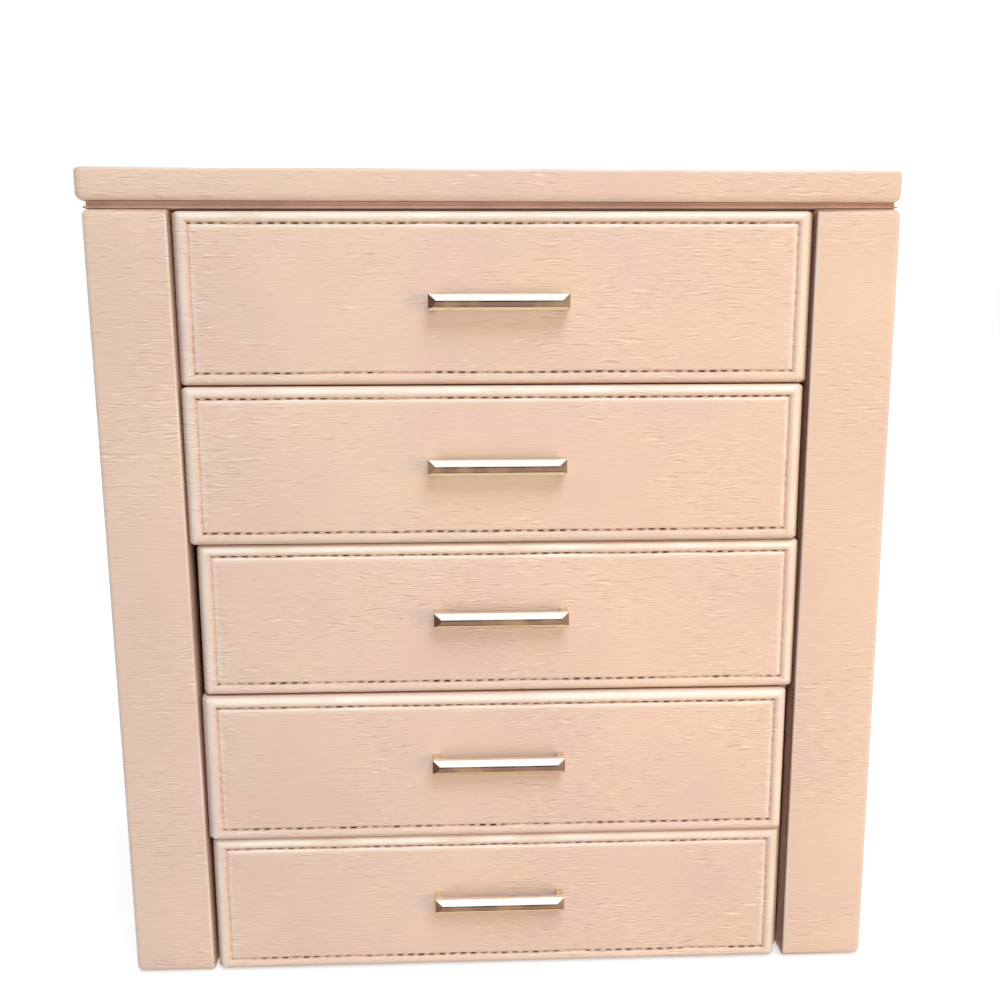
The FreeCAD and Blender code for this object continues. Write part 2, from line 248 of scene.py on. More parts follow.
def leatherette(look):
    material, tree, shader = newMaterial("leatherette", 0.5, specular=0.4)
    place, along, across = embossCoordinates(tree)
    sway = streaks(along, across, look["swayLong"], look["swayWide"])
    level = plus(across, times(sway, look["sway"]))
    wave = sums("SINE", times(level, fullTurn / look["ridgePitch"]))
    breaks = streaks(along, level, look["ridgeLong"], look["breakWide"], 1.5)
    wave = times(wave, spread(breaks, 0.42, 0.64))
    loose = streaks(along, level, look["ridgeLong"] * 0.8, look["looseWide"], 1.5)
    cluster = spread(noiseAt(place, look["cluster"], 2.0), 0.36, 0.60, 0.35, 1.0)
    ripple = plus(times(wave, look["waveShare"]), centred(loose))
    rungs = centred(streaks(along, across, look["rungLong"], look["rungWide"]))
    rungs = times(times(rungs, look["rungShare"]), painted(tree, "ladder"))
    ripple = plus(plus(times(ripple, cluster), rungs), 0.5)
    grain = noiseAt(place, 1 / look["grain"], 3.0, 0.6)

    drift = spread(noiseAt(place, 14.0, 2.0), 0.36, 0.64)
    patch = spread(noiseAt(place, 45.0, 3.0), 0.4, 0.66)
    # Painted highlight on the tops of the emboss and painted shade in its hollows
    raised = spread(ripple, 0.58, 0.92, 0.0, look["ridgeHighlightShare"])
    sunk = spread(ripple, 0.42, 0.10, 0.0, look["valleyShadeShare"])
    wornAndHighlight = painted(tree, "edgeWearAndHighlight")
    colour = mixColour(drift, look["peach"], look["pink"])
    for share, name in ((times(patch, look["patchShare"]), "sand"), (raised, "ridgeHighlight"),
                        (sunk, "valleyShade"), (times(wornAndHighlight, look["wornAndHighlightShare"]), "wornAndHighlight"),
                        (painted(tree, "seamShade"), "seamShadeColour")):
        colour = mixColour(share, colour, look[name])

    roughness = spread(plus(ripple, grain), 0.5, 1.5, 0.6, 0.42)
    roughness = times(roughness, spread(wornAndHighlight, 0.0, 1.0, 1.0, 0.62))
    coarse = bump(ripple, look["rippleDeep"], 1.0)
    normal = bump(grain, look["grainDeep"], 0.6, coarse)
    finish(shader, colour, roughness, normal)
    return material


# Short pile: brushed patches, fibre grain and a soft rim of light
def velvet(name, light, dark, pile=0.25 * mm):
    material, tree, shader = newMaterial(name, 0.95, specular=0.15)
    shader.inputs["Sheen Weight"].default_value = 0.45
    shader.inputs["Sheen Roughness"].default_value = 0.4
    shader.inputs["Sheen Tint"].default_value = (1.0, 0.96, 0.92, 1.0)
    place = objectPlace(tree)
    brushed = spread(noiseAt(place, 38.0, 4.0, 0.6), 0.35, 0.65)
    fibre = noiseAt(place, 1 / pile, 3.0, 0.7)
    colour = mixColour(brushed, light, dark)
    colour = shaded(colour, spread(fibre, 0.3, 0.7, 0.9, 1.06))
    roughness = spread(brushed, 0.0, 1.0, 0.85, 1.0)
    normal = bump(fibre, 0.12 * mm, 0.7, bump(brushed, 0.3 * mm, 0.3))
    finish(shader, colour, roughness, normal)
    return material


# Plated metal with faint draw lines and a little clouding
def metal(name, colour, dull, roughness, stretch=(30, 1500, 1500)):
    material, tree, shader = newMaterial(name, roughness, metallic=1.0)
    place = objectPlace(tree)
    drawn = addNode("Mapping", {"Vector": place, "Scale": stretch}).outputs[0]
    lines = noiseAt(drawn, 1.0)
    cloud = spread(noiseAt(place, 160.0, 3.0), 0.35, 0.7)
    base = mixColour(times(cloud, 0.5), colour, dull)
    rough = plus(spread(lines, 0.3, 0.7, roughness * 0.7, roughness * 1.3),
                 times(cloud, 0.06))
    finish(shader, base, rough, bump(lines, 0.01 * mm, 0.5))
    return material


# Pale plating with painted reflections: each facet is coloured for what it would mirror, the sky,
# the table or the leatherette
platingLook = {
    "facetReflections": {
        "dark": tone(58, 40, 38),
        "brown": tone(100, 66, 52),
        "mauve": tone(140, 110, 94),
        "gold": tone(214, 190, 146),
        "tan": tone(228, 216, 196),
        "leather": tone(252, 242, 228),
        "bright": tone(255, 252, 246),
    },
    "warmReflection": tone(206, 170, 124),     # painted reflection in patches on the darker facet colours
    "warmReflectionShare": 0.35,
    "roughness": 0.14,
    "drawLines": (40, 1800, 1800),
}


# Where a facet's painted reflection lies along the ramp, from 0 to 1
def paintedReflectionTone(name):
    names = list(platingLook["facetReflections"])
    return (names.index(name) + 0.5) / len(names)


def platedPull(look):
    material, tree, shader = newMaterial("pullPlating", look["roughness"], metallic=1.0)
    place = objectPlace(tree)
    facet = painted(tree, "paintedReflectionTone")
    ramp = addNode("ValToRGB", {0: facet})
    ramp.color_ramp.interpolation = "CONSTANT"
    stops = ramp.color_ramp.elements
    for index, colour in enumerate(look["facetReflections"].values()):
        stop = stops.new(index / len(look["facetReflections"])) if index else stops[0]
        stop.color = colour
    drawn = addNode("Mapping", {"Vector": place, "Scale": look["drawLines"]}).outputs[0]
    lines = noiseAt(drawn, 1.0)
    patch = spread(noiseAt(place, 95.0, 2.0), 0.45, 0.62)
    darker = sums("LESS_THAN", facet, paintedReflectionTone("tan"))
    share = times(times(patch, darker), look["warmReflectionShare"])
    colour = mixColour(share, ramp.outputs[0], look["warmReflection"])
    rough = spread(lines, 0.3, 0.7, look["roughness"] * 0.7, look["roughness"] * 1.4)
    finish(shader, colour, rough, bump(lines, 0.01 * mm, 0.4))
    return material


# Felt or paper: a mat of short fibres
def fibreSheet(name, light, dark, fibre, roughness):
    material, tree, shader = newMaterial(name, roughness, specular=0.2)
    place = objectPlace(tree)
    strand = noiseAt(place, 1 / fibre, 4.0, 0.7)
    blotch = noiseAt(place, 60.0, 3.0)
    share = plus(times(strand, 0.7), times(blotch, 0.5))
    colour = mixColour(spread(share, 0.4, 0.8), light, dark)
    rough = spread(strand, 0.3, 0.7, roughness - 0.1, roughness + 0.05)
    finish(shader, colour, rough, bump(strand, fibre / 4, 0.6))
    return material


def silverGlass():
    material, tree, shader = newMaterial("mirrorGlass", 0.02, metallic=1.0)
    place = objectPlace(tree)
    haze = noiseAt(place, 30.0, 4.0, 0.6)
    colour = mixColour(spread(haze, 0.3, 0.7), tone(243, 246, 247), tone(235, 239, 240))
    finish(shader, colour, spread(haze, 0.3, 0.8, 0.015, 0.06),
           bump(noiseAt(place, 8.0, 1.0), 0.02 * mm, 0.2))
    return material


# Woven satin: fine crossing threads with a soft shine
def satinCloth():
    material, tree, shader = newMaterial("satinCloth", 0.45, specular=0.4)
    shader.inputs["Sheen Weight"].default_value = 0.25
    place = objectPlace(tree)
    waves = []
    for direction in ("Y", "Z"):
        inputs = {"Vector": place, "Scale": 420.0, "Distortion": 0.6, "Detail": 1.0}
        waves.append(addNode("TexWave", inputs, bands_direction=direction).outputs["Fac"])
    weave = sums("MAXIMUM", *waves)
    cloud = noiseAt(place, 55.0, 3.0)
    cloud = spread(cloud, 0.35, 0.65)
    colour = mixColour(cloud, tone(236, 216, 196), tone(222, 199, 178))
    # Painted highlight on the raised threads of the weave
    raised = spread(weave, 0.4, 1.0, 0.0, 0.3)
    colour = mixColour(raised, colour, tone(246, 232, 216))
    finish(shader, colour, spread(weave, 0.2, 1.0, 0.58, 0.38), bump(weave, 0.05 * mm, 0.5))
    return material


# Two-ply thread in nearly the colour of the leatherette
def sewingThread():
    material, tree, shader = newMaterial("sewingThread", 0.6, specular=0.25)
    place = objectPlace(tree)
    slant = addNode("Mapping", {"Vector": place, "Rotation": (0, 0.7, 0)}).outputs[0]
    inputs = {"Vector": slant, "Scale": 700.0, "Distortion": 1.0}
    plies = addNode("TexWave", inputs).outputs["Fac"]
    fade = noiseAt(place, 90.0, 2.0)
    faded = spread(fade, 0.35, 0.65)
    colour = mixColour(faded, tone(244, 217, 196), tone(232, 200, 180))
    # Painted shade between the twisted plies
    between = spread(plies, 0.0, 0.5, 0.22, 0.0)
    colour = mixColour(between, colour, tone(206, 166, 144))
    finish(shader, colour, spread(fade, 0.3, 0.7, 0.5, 0.7), bump(plies, 0.04 * mm, 0.5))
    return material


cover = leatherette(leatherLook)
creamVelvet = velvet("creamVelvet", tone(235, 219, 201), tone(222, 203, 184))
rollVelvet = velvet("rollVelvet", tone(240, 225, 208), tone(226, 208, 190), 0.3 * mm)
stripVelvet = velvet("stripVelvet", tone(216, 178, 166), tone(198, 158, 146))
paper = fibreSheet("boardPaper", tone(226, 206, 186), tone(208, 184, 162), 0.4 * mm, 0.85)
felt = fibreSheet("baseFelt", tone(205, 184, 166), tone(178, 154, 135), 0.5 * mm, 0.95)
pullPlating = platedPull(platingLook)
hingePlating = metal("hingePlating", tone(232, 204, 158), tone(206, 170, 118), 0.28,
                     stretch=(1500, 1500, 30))
screwPlating = metal("screwPlating", tone(226, 196, 148), tone(196, 160, 112), 0.24)
zincSteel = metal("zincSteel", tone(206, 206, 206), tone(176, 176, 178), 0.32)
mirrorGlass = silverGlass()
satin = satinCloth()
thread = sewingThread()
print("materials made")


# Mesh helpers
def turnOutwards(mesh):
    bmesh.ops.recalc_face_normals(mesh, faces=mesh.faces)


def addPiece(name, mesh, materials, body, replaced=(), sharp=180.0):
    turnOutwards(mesh)
    data = bpy.data.meshes.new(name)
    mesh.to_mesh(data)
    mesh.free()
    for material in materials:
        data.materials.append(material)
    for face in data.polygons:
        face.use_smooth = True
    if sharp < 180:
        data.set_sharp_from_angle(angle=math.radians(sharp))
    piece = addObject(name, data)
    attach(piece, body)
    if replaced:
        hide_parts(*replaced)
    return piece


# Points round a rectangle with round corners: u, v, side and place along the side
def ringPoints(rect, inset, radius, counts, cornerSteps):
    u0, u1, v0, v1 = rect
    u0, u1, v0, v1 = u0 + inset, u1 - inset, v0 + inset, v1 - inset
    radius = max(min(radius, (u1 - u0) / 2.01, (v1 - v0) / 2.01), 1e-6)
    left, right, low, high = u0 + radius, u1 - radius, v0 + radius, v1 - radius
    # Each side's start and end, and the centre of the corner that follows it
    runs = [(left, v0, right, v0, right, low), (u1, low, u1, high, right, high),
            (right, v1, left, v1, left, high), (u0, high, u0, low, left, low)]
    points = []
    for side, (startU, startV, endU, endV, centreU, centreV) in enumerate(runs):
        count = counts[side % 2]
        for step in range(count):
            share = step / count
            points.append((startU + (endU - startU) * share, startV + (endV - startV) * share,
                           side, share))
        for step in range(cornerSteps):
            angle = math.radians(-90 + 90 * (side + step / cornerSteps))
            points.append((centreU + radius * math.cos(angle), centreV + radius * math.sin(angle),
                           side, 1.0))
    return points


# Joins rings of equal length into a skin, and closes its two ends
def skin(mesh, rings, caps=True):
    count = len(rings[0])
    for lower, upper in zip(rings, rings[1:]):
        for index in range(count):
            after = (index + 1) % count
            mesh.faces.new([lower[index], lower[after], upper[after], upper[index]])
    if caps:
        mesh.faces.new(rings[0][::-1])
        mesh.faces.new(rings[-1])


def softBoard(mesh, low, high, radius):
    made = bmesh.ops.create_cube(mesh, size=1.0)["verts"]
    size, middle = high - low, (low + high) / 2
    for vertex in made:
        vertex.co = Vector([middle[axis] + vertex.co[axis] * size[axis] for axis in range(3)])
    edges = list(dict.fromkeys(edge for vertex in made for edge in vertex.link_edges))
    bmesh.ops.bevel(mesh, geom=edges, offset=radius, segments=3, profile=0.5, affect="EDGES")


# Drawer fronts: a wrapped board with a rolled border, a sewn seam and a soft field
frontLook = {
    "cornerRound": 1.3 * mm,
    "seamInset": 4.35 * mm,
    "seamDeep": 1.12 * mm,
    "stitchLong": 4.3 * mm,       # from one needle hole to the next
    "stepsPerStitch": 6,
    "holeDeep": 0.45 * mm,
    "pucker": 0.10 * mm,          # how far each hole pulls the border in
    "waver": 0.16 * mm,
    "threadRound": 0.22 * mm,
    "threadShare": 0.27,          # half a stitch, as a share of the pitch
    "ladder": 0.30 * mm,          # short pleats that run inwards from the upright seams
    "ladderPitch": 1.9 * mm,
    "ladderWide": 4.5 * mm,
    "rungs": (5.0 * mm, 5.5 * mm),    # where the embossed strokes are strongest, and how wide
    "seamStrength": (1.0, 0.14, 0.9, 0.14),   # bottom, right, top, left; hole depth and painted shade of each seam, faint on the upright seams, where light from above fills the holes
    # stretch paleness and painted highlight on the rolled border: bottom, right, top, left;
    # strongest on top, where light falls
    "wearAndHighlightStrength": (0.35, 0.7, 1.15, 0.7),
    "lowShade": 0.22,             # painted shade darkens the rolled border towards the gap under it
    "wallShade": 0.3,             # and painted shade darkens the walls at its two ends
    "endReach": 2.0 * mm,         # how near an end the next two are felt
    "sideBulge": 0.4 * mm,        # padding that stands out at the two ends
    # Millimetres that spare leatherette stands out at the foot of the left and right wall
    "wallFold": {1: (1.6, 1.6), 2: (1.4, 1.2), 3: (1.3, 1.1), 4: (2.0, 0.0), 5: (1.3, 0.0)},
    # Millimetres that a sewn cover's left and right end is off its board's
    "ends": {1: (-1.2, -0.7), 2: (0.0, -1.0), 3: (0.7, -0.7), 4: (1.7, -1.8), 5: (1.8, -2.0)},
}

# Inset from the edge in mm, depth below the face in mm, painted seam shade, hole, and stretch
# paleness with painted highlight
frontProfile = [
    (-0.20, 2.80, 0.0, 0.0, 0.0), (-0.15, 2.10, 0.0, 0.0, 0.1), (0.05, 1.50, 0.0, 0.0, 0.3),
    (0.35, 1.02, 0.0, 0.0, 0.6), (0.80, 0.62, 0.0, 0.0, 0.9), (1.30, 0.32, 0.0, 0.0, 1.0),
    (1.85, 0.12, 0.0, 0.0, 1.0), (2.40, 0.03, 0.0, 0.0, 0.8), (2.90, 0.07, 0.0, 0.0, 0.4),
    (3.40, 0.22, 0.0, 0.0, 0.15), (3.80, 0.46, 0.0, 0.1, 0.0), (4.10, 0.80, 0.35, 0.6, 0.0),
    (4.28, 1.05, 0.9, 1.0, 0.0), (4.43, 1.08, 0.9, 1.0, 0.0), (4.62, 0.85, 0.3, 0.4, 0.1),
    (4.90, 0.62, 0.0, 0.1, 0.8), (5.30, 0.45, 0.0, 0.0, 0.8), (5.90, 0.36, 0.0, 0.0, 0.3),
    (7.00, 0.30, 0.0, 0.0, 0.0), (8.20, 0.25, 0.0, 0.0, 0.0), (9.50, 0.20, 0.0, 0.0, 0.0),
    (14.0, 0.10, 0.0, 0.0, 0.0), (21.0, 0.02, 0.0, 0.0, 0.0),
]


def frontSpan(number, look):
    low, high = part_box("drawer_%d_front" % number)
    left, right = look["ends"][number]
    return low + Vector((left * mm, 0, 0)), high + Vector((right * mm, 0, 0))


def stitchCounts(low, high, look):
    lengths = [high[axis] - low[axis] - 2 * look["seamInset"] for axis in (0, 2)]
    return [round(length / look["stitchLong"]) for length in lengths]


# Rises from 0 to 1 between two values, and holds there
def rising(value, low, high):
    return max(0.0, min(1.0, (value - low) / (high - low)))


def noiseNear(u, v, scale, seed):
    return noise.noise(Vector((u * scale, seed, v * scale)))


def frontVertex(mesh, layers, box, number, look, row, point):
    low, high = box
    inset, depth, shade, hole, wearAndHighlight = row
    u, v, side, share, count = point
    middle = (low + high) / 2
    upright = side % 2
    pit = (0.5 + 0.5 * math.cos(fullTurn * share * count)) ** 0.5 if share < 1 else 1.0
    strength = look["seamStrength"][side]
    drift = noiseNear(u, v, 60, number * 7.0)
    uneven = 0.55 + 1.3 * noiseNear(u, v, 75, number * 3.0 + 9)
    uneven += 0.9 * noiseNear(u, v, 260, number * 3.0 + 5)
    deep = depth + hole * pit * look["holeDeep"] * strength + 0.4 * look["waver"] * max(drift, 0)
    ladder = look["ladderWide"]
    if upright and ladder < inset < 2 * ladder:
        pleat = noise.noise(Vector((side * 9.1, number * 5.3, v / look["ladderPitch"])))
        deep += look["ladder"] * pleat * (2 - inset / ladder) ** 0.5
    toEnd = (high.x - low.x) / 2 - abs(u - middle.x)
    nearEnd = max(0.0, 1 - toEnd / look["endReach"])
    fold = look["wallFold"][number][u > middle.x] * mm * rising(deep, 2.2 * mm, 3.4 * mm)
    outwards = (look["sideBulge"] * min(1.0, deep / look["endReach"]) + fold) * nearEnd
    vertex = mesh.verts.new((u + math.copysign(outwards, u - middle.x),
                             low.y + min(deep, high.y - low.y), v))
    if 2 * mm < inset < 6 * mm:
        inwards = Vector((middle.x - u, 0, 0)) if upright else Vector((0, 0, middle.z - v))
        pull = look["pucker"] * pit * min(1.0, wearAndHighlight + hole)
        vertex.co -= inwards.normalized() * (pull + look["waver"] * drift)
    seamLayer, wearAndHighlightLayer, ladderLayer = layers
    if upright and inset > 4.2 * mm:
        strongest, wide = look["rungs"]
        vertex[ladderLayer] = max(0.0, 1 - abs(inset - strongest) / wide)
    # Painted shade: the needle holes and groove of the seam, the foot of the rolled border and the
    # walls at the two ends are darkened in colour
    dim = (shade * 0.4 + hole * pit * 1.1 * uneven) * strength
    if side == 0:
        dim += look["lowShade"] * (1 - rising(inset, 0.0, 2 * mm))
    if upright and fold:
        dim += look["wallShade"] * rising(deep, 0.8 * mm, 2.2 * mm)
    vertex[seamLayer] = max(0.0, min(1.0, dim))
    # Stretch paleness and painted highlight on the rolled border
    vertex[wearAndHighlightLayer] = max(0.0, wearAndHighlight * (0.8 + 0.5 * drift)) * look["wearAndHighlightStrength"][side]
    return vertex


# Points on a circle round a centre, between two directions across it
def circlePoints(centre, first, second, radius, steps):
    angles = [fullTurn * step / steps for step in range(steps)]
    return [centre + (first * math.cos(angle) + second * math.sin(angle)) * radius
            for angle in angles]


def drawerFront(number, look):
    name = "drawer_%d_front" % number
    low, high = frontSpan(number, look)
    stitches = stitchCounts(low, high, look)
    counts = [count * look["stepsPerStitch"] for count in stitches]
    thick = high.y - low.y
    rows = [(0.6 * mm, thick, 0, 0, 0), (-0.2 * mm, thick - 0.8 * mm, 0, 0, 0)]
    rows += [(inset * mm, depth * mm, shade, hole, wearAndHighlight)
             for inset, depth, shade, hole, wearAndHighlight in frontProfile]
    mesh = bmesh.new()
    layerNames = ("seamShade", "edgeWearAndHighlight", "ladder")
    for layerName in layerNames:
        mesh.verts.layers.float.new(layerName)
    layers = [mesh.verts.layers.float[layerName] for layerName in layerNames]
    rect = (low.x, high.x, low.z, high.z)
    rings = []
    for row in rows:
        corner = look["cornerRound"] - row[0] * 0.3
        points = ringPoints(rect, row[0], corner, counts, 4)
        rings.append([frontVertex(mesh, layers, (low, high), number, look, row,
                                  (u, v, side, share, stitches[side % 2]))
                      for u, v, side, share in points])
    skin(mesh, rings)
    addPiece(name + "_cover", mesh, [cover], "drawer_%d" % number, [name], 50)


# A stitch's rings: place along it, how deep it lies and how thick it is, as shares
stitchShape = [(-1.0, 1.2, 0.4), (-0.86, 0.92, 0.85), (-0.45, 0.80, 1.0), (0.0, 0.76, 1.0),
               (0.45, 0.80, 1.0), (0.86, 0.92, 0.85), (1.0, 1.2, 0.4)]


# A bowed thread whose two ends go down into their needle holes
def addStitch(mesh, middle, along, across, half, radius, slant, deep):
    inwards = Vector((0, 1, 0))
    rings = []
    for share, sunk, width in stitchShape:
        centre = middle + (along * half + across * slant) * share + inwards * (deep * sunk)
        points = circlePoints(centre, across, inwards, radius * width, 6)
        rings.append([mesh.verts.new(point) for point in points])
    skin(mesh, rings)


def seamThread(number, look):
    low, high = frontSpan(number, look)
    counts = stitchCounts(low, high, look)
    inset = look["seamInset"]
    x0, x1, z0, z1 = low.x + inset, high.x - inset, low.z + inset, high.z - inset
    runs = [((x0, z0), (1, 0), (0, 1)), ((x1, z0), (0, 1), (-1, 0)),
            ((x1, z1), (-1, 0), (0, -1)), ((x0, z1), (0, -1), (1, 0))]
    mesh = bmesh.new()
    for index, run in enumerate(runs):
        start, along, across = (Vector((x, 0, z)) for x, z in run)
        count = counts[index % 2]
        pitch = ((x1 - x0), (z1 - z0))[index % 2] / count
        for stitch in range(count):
            middle = start + along * (pitch * (stitch + 0.5))
            middle.y = low.y
            jitter = noise.noise(middle * 900)
            sunk = look["seamDeep"] * (1.25 if index % 2 else 1.0)
            addStitch(mesh, middle, along, across, pitch * (look["threadShare"] + 0.04 * jitter),
                      look["threadRound"], 0.06 * mm * (1 + jitter), sunk)
    addPiece("drawer_%d_seam_thread" % number, mesh, [thread], "drawer_%d" % number)


for number in drawerNumbers:
    drawerFront(number, frontLook)
    seamThread(number, frontLook)
print("drawer fronts and their seams made")


# Pulls: a low faceted bar with bevelled ends, on two legs
pullLook = {
    "bevel": 2.8 * mm,            # length of the bevel at each end
    "slant": 0.6 * mm,            # depth of that bevel
    "leg": 3.0 * mm,
    "legEdge": 0.3 * mm,
    "barDeep": 2.4 * mm,          # where a leg starts, behind the front
    "sunk": 0.6 * mm,             # how far each foot stands in the padding
    "edge": 0.07 * mm,
    # painted reflection of the left and right end faces
    "ends": {-1: "brown", 1: "mauve"},
    "section": [                  # mm behind the front and above the middle; the painted reflection of the facet below
        (0.60, 3.00, "bright"), (0.00, 0.42, "dark"), (0.00, -0.05, "mauve"),
        (0.25, -1.65, "brown"), (0.33, -1.95, "gold"), (0.60, -2.32, "gold"),
        (1.10, -3.00, "tan"), (2.50, -3.00, "tan"), (3.00, -2.50, "mauve"),
        (3.00, 2.50, "tan"), (2.50, 3.00, "leather"),
    ],
}


def legOfPull(mesh, low, high, edge):
    softBoard(mesh, low, high, edge)
    facetLayer = mesh.faces.layers.float["paintedReflectionTone"]
    for face in mesh.faces:
        if face[facetLayer] == 0:
            face.normal_update()
            # Painted reflection: a leg's upper faces show tan, its lower faces mauve
            face[facetLayer] = paintedReflectionTone("tan" if face.normal.z > -0.5 else "mauve")


def barPull(number, look):
    name = "drawer_%d_pull" % number
    low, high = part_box(name)
    height, middle = (high.z + low.z) / 2, (high.x + low.x) / 2
    half = (high.x - low.x) / 2
    slant, bevel = look["slant"], look["bevel"]
    mesh = bmesh.new()
    facetLayer = mesh.faces.layers.float.new("paintedReflectionTone")
    rings = []
    for side in (-1, 1):
        ring = []
        for behind, rise, facet in look["section"]:
            end = middle + side * (half - bevel * max(0.0, 1 - behind * mm / slant))
            ring.append(mesh.verts.new((end, low.y + behind * mm, height + rise * mm)))
        rings.append(ring)
    count = len(look["section"])
    for index, (behind, rise, facet) in enumerate(look["section"]):
        after = (index + 1) % count
        face = mesh.faces.new([rings[0][index], rings[0][after], rings[1][after], rings[1][index]])
        face[facetLayer] = paintedReflectionTone(facet)
    onBevel = [index for index in range(count) if look["section"][index][0] * mm <= slant + 1e-9]
    flat = [onBevel[-1]] + list(range(onBevel[-1] + 1, count)) + [onBevel[0]]
    for side, ring in zip((-1, 1), rings):
        for corners, facet in ((onBevel, look["ends"][side]), (flat, "tan")):
            face = mesh.faces.new([ring[index] for index in corners])
            face[facetLayer] = paintedReflectionTone(facet)
    turnOutwards(mesh)
    bmesh.ops.bevel(mesh, geom=list(mesh.edges), offset=look["edge"], segments=1, affect="EDGES")
    for side in (-1, 1):
        x0, x1 = sorted((middle + side * (half - look["leg"]), middle + side * half))
        legOfPull(mesh, Vector((x0, low.y + look["barDeep"], low.z)),
                  Vector((x1, high.y + look["sunk"], high.z)), look["legEdge"])
    addPiece(name + "_bar", mesh, [pullPlating], "drawer_%d" % number, [name], 20)


for number in drawerNumbers:
    barPull(number, pullLook)
print("pulls made")


# Covered boards: the lid, the two wing doors and the back
boardLook = {
    "lidTopRound": 1.4 * mm,
    "lidLowRound": 2.6 * mm,
    "lidCorner": 4.0 * mm,
    "lidStep": 0.45 * mm,         # fold under the lid, above the lining board
    "lidEnds": (-1.5 * mm, -1.8 * mm),    # the lid's cover sits a little to the left
    "lidLift": 0.9 * mm,          # and a little higher at that end
    "liningLip": 0.75 * mm,       # height of the strip that shows under the lid
    "liningSoft": 0.25 * mm,
    "liningLow": 0.15 * mm,       # velvet stops this far above the board's low side
    "liningEnds": (-1.9 * mm, 0.0),
    "liningGroove": 0.9 * mm,     # how far the board draws back above that strip
    "doorRise": 0.65 * mm,        # padding on top of a door
    "doorTwist": {                # how far a door's front edge is out of line: outside, inside
        "left": {"top": (-1.3 * mm, -2.2 * mm), "bottom": (0.0, 0.0)},
        "right": {"top": (0.0, 0.0), "bottom": (1.2 * mm, -0.3 * mm)},
    },
    "doorRound": 2.5 * mm,
    "doorWall": 5.0 * mm,
    "doorFrontWall": 6.0 * mm,
    "doorMouth": 11.0 * mm,       # a lip behind the front wall laps the case's front edge
    "doorLip": 1.2 * mm,
    "rimRound": 1.0 * mm,
    "rimShade": {"left": 0.4, "right": 0.85},    # painted shade darkens the rim beside the drawers, where the gap lies
    "backRound": 0.8 * mm,
    "roundSteps": 5,
    "faceRows": (8 * mm, 30 * mm, 60 * mm),   # rings of points on a wide face
    "spacing": 6.0 * mm,
}


# One ring of a covered board: rectangle, inset, depth, corner radius, and stretch paleness with
# painted highlight
def row(rect, inset, depth, corner, wearAndHighlight=0.0):
    return {"rect": rect, "inset": inset, "depth": depth, "corner": max(corner, 0.1 * mm),
            "wearAndHighlight": wearAndHighlight}


# Rows of a quarter round, from the wall on to the face, or from the face to the wall
def roundRows(rect, radius, depth, corner, steps, upwards):
    rows = []
    for step in range(steps + 1):
        angle = math.radians(90 * step / steps)
        inset, rise = radius * (1 - math.cos(angle)), radius * math.sin(angle)
        # A round's paleness mark is partly painted highlight, stronger on a rising round
        wearAndHighlight = (0.8 if upwards else 0.2) * math.sin(2 * angle)
        rows.append(row(rect, inset, depth + (rise if upwards else -rise), corner - inset, wearAndHighlight))
    return rows if upwards else rows[::-1]


def boardSkin(rows, toPoint, spacing, closed=False):
    mesh = bmesh.new()
    wearAndHighlightLayer = mesh.verts.layers.float.new("edgeWearAndHighlight")
    rect = rows[0]["rect"]
    counts = [max(2, round((rect[index + 1] - rect[index]) / spacing)) for index in (0, 2)]
    rings = []
    for ringRow in rows:
        ring = []
        for u, v, side, share in ringPoints(ringRow["rect"], ringRow["inset"], ringRow["corner"],
                                            counts, 5):
            point = toPoint(u, v, ringRow["depth"])
            vertex = mesh.verts.new(point)
            vertex[wearAndHighlightLayer] = max(0.0, ringRow["wearAndHighlight"] * (0.75 + 0.8 * noise.noise(point * 45)))
            ring.append(vertex)
        rings.append(ring)
    if closed:
        rings.append(rings[0])
    skin(mesh, rings, caps=not closed)
    return mesh


# The board under the lid: a velvet lip, a groove above it and the mirror's window
def lidLining(look):
    low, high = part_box("lid_lining")
    mirrorLow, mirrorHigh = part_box("lid_mirror")
    left, right = look["liningEnds"]
    rect = (low.x + left, high.x + right, low.y, high.y)
    window = (mirrorLow.x, mirrorHigh.x, mirrorLow.y, mirrorHigh.y)
    lip, groove, soft = look["liningLip"], look["liningGroove"], look["liningSoft"]
    base = low.z + look["liningLow"]
    rows = [row(window, 0, high.z, 0), row(window, 0, base + soft, 0), row(window, -soft, base, 0),
            row(rect, 1.5 * soft, base, soft), row(rect, 0.3 * soft, base + soft / 2, soft),
            row(rect, 0, base + lip / 2, soft), row(rect, 0.4 * soft, base + lip, soft),
            row(rect, groove, base + lip + soft / 2, soft), row(rect, groove, high.z, soft)]

    # Its foot stays level; only its top follows the lid
    def place(u, v, depth):
        return tilted(u, v, depth, look) if depth > high.z - soft else Vector((u, v, depth))

    mesh = boardSkin(rows, place, look["spacing"], closed=True)
    addPiece("lid_lining_velvet", mesh, [stripVelvet], "lid", ["lid_lining"], 50)


# The lid lies a little higher at its left end
def tilted(x, y, z, look):
    low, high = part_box("lid_board")
    return Vector((x, y, z + look["lidLift"] * (high.x - x) / (high.x - low.x)))


def lidCover(look):
    low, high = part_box("lid_board")
    left, right = look["lidEnds"]
    rect = (low.x + left, high.x + right, low.y, high.y)
    corner, steps = look["lidCorner"], look["roundSteps"]
    lowRound, topRound = look["lidLowRound"], look["lidTopRound"]
    rows = [row(rect, inset, low.z + look["lidStep"], corner)
            for inset in (14 * mm, lowRound + 0.35 * mm)]
    rows += roundRows(rect, lowRound, low.z + lowRound, corner, steps, False)
    rows += roundRows(rect, topRound, high.z - topRound, corner, steps, True)
    rows += [row(rect, inset, high.z, 0.5 * mm) for inset in look["faceRows"]]
    mesh = boardSkin(rows, lambda u, v, depth: tilted(u, v, depth, look), look["spacing"])
    addPiece("lid_board_cover", mesh, [cover], "lid", ["lid_board"], 50)


